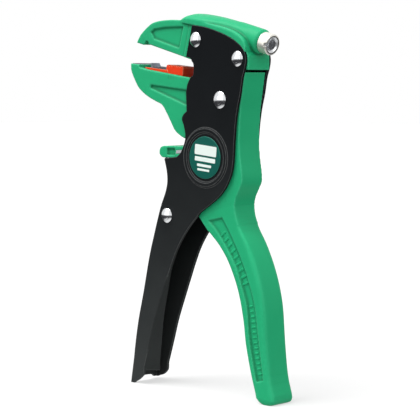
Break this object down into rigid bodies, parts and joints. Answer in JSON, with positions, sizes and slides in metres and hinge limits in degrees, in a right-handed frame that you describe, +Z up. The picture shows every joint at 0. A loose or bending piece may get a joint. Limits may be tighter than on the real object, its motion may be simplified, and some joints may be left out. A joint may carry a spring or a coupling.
{
  "type": "cable stripper",
  "caption": "Self-adjusting duckbill cable stripper with hinged lower jaw, sliding blades, length stop, wire cutter, clamping adjuster and sprung lever handle.",
  "frame": {"origin": "centre of the bounding box in X and Y, at the ground on which both handle tips stand", "axes": "+X from the jaws towards the lever, +Z up from the handle tips to the jaws, the side with the label faces -Y"},
  "size_m": [0.0904, 0.0204, 0.175],
  "materials": {
    "black_sheet": "satin black coat on pressed sheet",
    "green_casting": "satin enamel on a casting",
    "label": "gloss film",
    "polished_steel": "polished",
    "bright_steel": "ground",
    "dark_steel": "hardened, oiled",
    "red_plastic": "moulded",
    "spring_wire": "straw-coloured spring wire",
    "pale_metal": "pale satin"
  },
  "bodies": {
    "frame": {"frame_channel": "black_sheet", "label_disc": "label", "front_rivet": "polished_steel", "rear_rivet": "polished_steel", "pivot_rivet": "polished_steel", "spring_rivet": "polished_steel", "upper_jaw": "green_casting", "upper_pad": "dark_steel", "slide_spring": "spring_wire", "return_spring": "spring_wire"},
    "lever": {"handle_lever": "green_casting", "drive_pin": "bright_steel", "cutter_blade": "bright_steel", "cutter_screws": "bright_steel"},
    "lower_jaw": {"lower_jaw": "green_casting", "lower_pad": "dark_steel"},
    "upper_slide": {"upper_slide": "dark_steel", "upper_blade": "bright_steel", "upper_blade_screw": "bright_steel"},
    "lower_slide": {"lower_slide": "dark_steel", "lower_blade": "bright_steel", "lower_blade_screw": "bright_steel"},
    "length_stop": {"length_stop": "red_plastic"},
    "adjuster": {"adjuster_knob": "pale_metal", "adjuster_screw": "bright_steel"},
    "spring_seat": {"spring_seat": "dark_steel"}
  },
  "joints": [
    {"name": "lever_pivot", "type": "hinge", "parent": "frame", "child": "lever", "pos_m": [0.01425, 0, 0.1356], "axis": [0, 1, 0], "range_deg": [0, 20], "stiffness_Nm_per_rad": 1, "springref_deg": -20.05, "deforming": ["return_spring"]},
    {"name": "jaw_pivot", "type": "hinge", "parent": "frame", "child": "lower_jaw", "pos_m": [0.01425, 0, 0.1356], "axis": [0, 1, 0], "range_deg": [0, 9.2]},
    {"name": "upper_slide_run", "type": "slide", "parent": "frame", "child": "upper_slide", "axis": [0.9659, 0, -0.2588], "range_m": [0, 0.00671], "deforming": ["slide_spring"]},
    {"name": "lower_slide_run", "type": "slide", "parent": "lower_jaw", "child": "lower_slide", "axis": [0.9949, 0, -0.1011], "range_m": [0, 0.00447]},
    {"name": "length_stop_run", "type": "slide", "parent": "lower_jaw", "child": "length_stop", "axis": [0.9949, 0, -0.1011], "range_m": [0, 0.008]},
    {"name": "adjuster_turn", "type": "hinge", "parent": "frame", "child": "adjuster", "pos_m": [0.0335, 0, 0.16109], "axis": [0.9659, 0, -0.2588], "range_deg": [0, 1080]},
    {"name": "seat_run", "type": "slide", "parent": "frame", "child": "spring_seat", "axis": [-0.9659, 0, 0.2588], "range_m": [0, 0.0024]}
  ],
  "couplings": [
    {"joint": "jaw_pivot", "follows": "lever_pivot", "ratio": 0.46},
    {"joint": "upper_slide_run", "follows": "lever_pivot", "m_per_rad": 0.019221},
    {"joint": "lower_slide_run", "follows": "lever_pivot", "m_per_rad": 0.012802},
    {"joint": "adjuster_turn", "follows": "seat_run", "rad_per_m": 7854}
  ]
}
